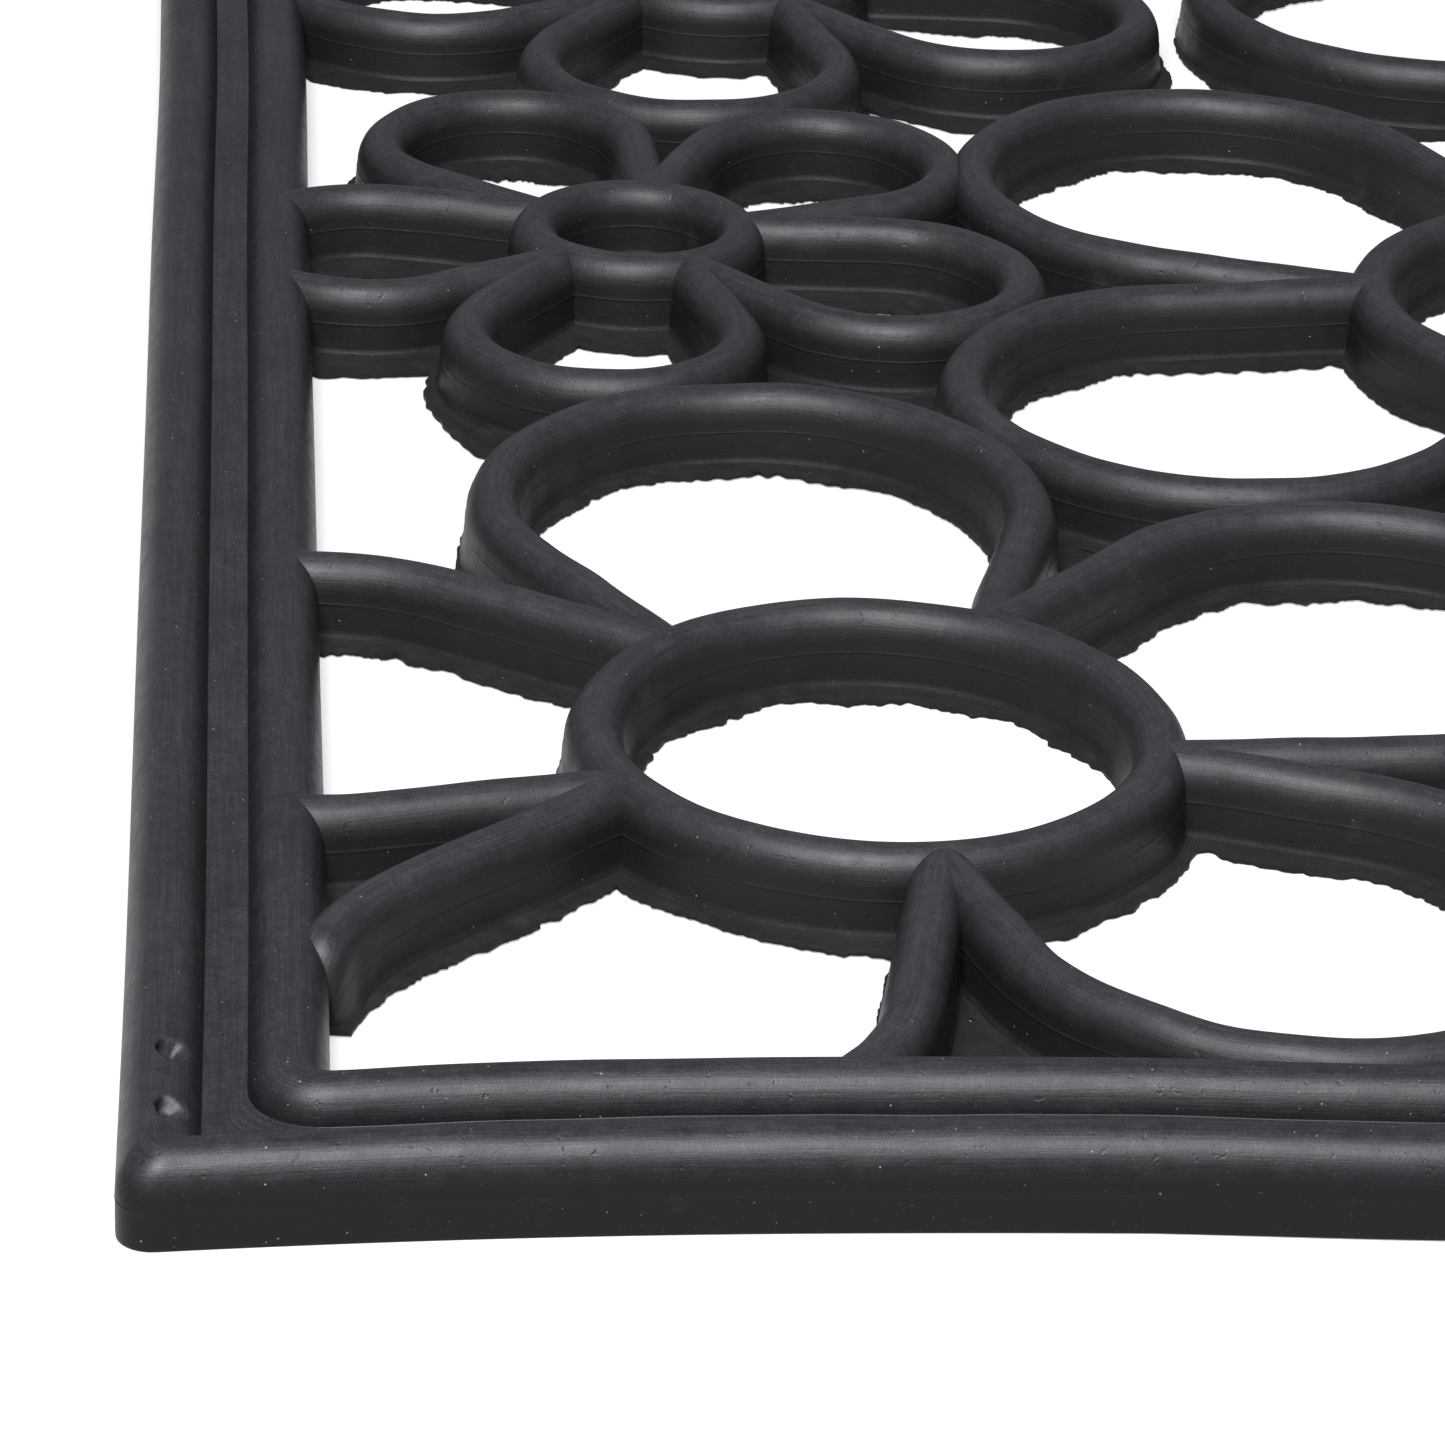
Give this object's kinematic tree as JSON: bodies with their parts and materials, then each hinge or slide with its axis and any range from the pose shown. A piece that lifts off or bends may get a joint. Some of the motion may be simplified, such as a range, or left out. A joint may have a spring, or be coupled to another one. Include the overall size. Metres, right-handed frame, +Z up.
{
  "type": "door mat",
  "caption": "Rectangular moulded rubber door mat with a double-bead border round an open grille of round-topped bars that form petalled ring flowers.",
  "frame": {"origin": "on the floor under the middle of the mat", "axes": "+X along the long side, +Y towards the back long side, +Z up"},
  "size_m": [0.75, 0.45, 0.0096],
  "materials": {
    "border_rubber": "satin black moulded rubber with fine grain",
    "grille_rubber": "satin black moulded rubber with fine streaks along the bars",
    "skin_rubber": "dull black rubber skin with a torn edge"
  },
  "bodies": {
    "root": {"base_web": "skin_rubber", "channel_back": "border_rubber", "channel_front": "border_rubber", "channel_left": "border_rubber", "channel_right": "border_rubber", "flower_01_hub": "grille_rubber", "flower_01_petals": "grille_rubber", "flower_02_hub": "grille_rubber", "flower_02_petals": "grille_rubber", "flower_03_hub": "grille_rubber", "flower_03_petals": "grille_rubber", "flower_04_hub": "grille_rubber", "flower_04_petals": "grille_rubber", "flower_05_hub": "grille_rubber", "flower_05_petals": "grille_rubber", "flower_06_hub": "grille_rubber", "flower_06_petals": "grille_rubber", "flower_07_hub": "grille_rubber", "flower_07_petals": "grille_rubber", "flower_08_hub": "grille_rubber", "flower_08_petals": "grille_rubber", "flower_09_hub": "grille_rubber", "flower_09_petals": "grille_rubber", "flower_10_hub": "grille_rubber", "flower_10_petals": "grille_rubber", "flower_11_hub": "grille_rubber", "flower_11_petals": "grille_rubber", "flower_12_hub": "grille_rubber", "flower_12_petals": "grille_rubber", "flower_13_hub": "grille_rubber", "flower_13_petals": "grille_rubber", "flower_14_hub": "grille_rubber", "flower_14_petals": "grille_rubber", "flower_15_hub": "grille_rubber", "flower_15_petals": "grille_rubber", "flower_16_hub": "grille_rubber", "flower_16_petals": "grille_rubber", "flower_17_hub": "grille_rubber", "flower_17_petals": "grille_rubber", "inner_bead_back": "border_rubber", "inner_bead_front": "border_rubber", "inner_bead_left": "border_rubber", "inner_bead_right": "border_rubber", "outer_bead_back": "border_rubber", "outer_bead_front": "border_rubber", "outer_bead_left": "border_rubber", "outer_bead_right": "border_rubber"}
  },
  "joints": []
}
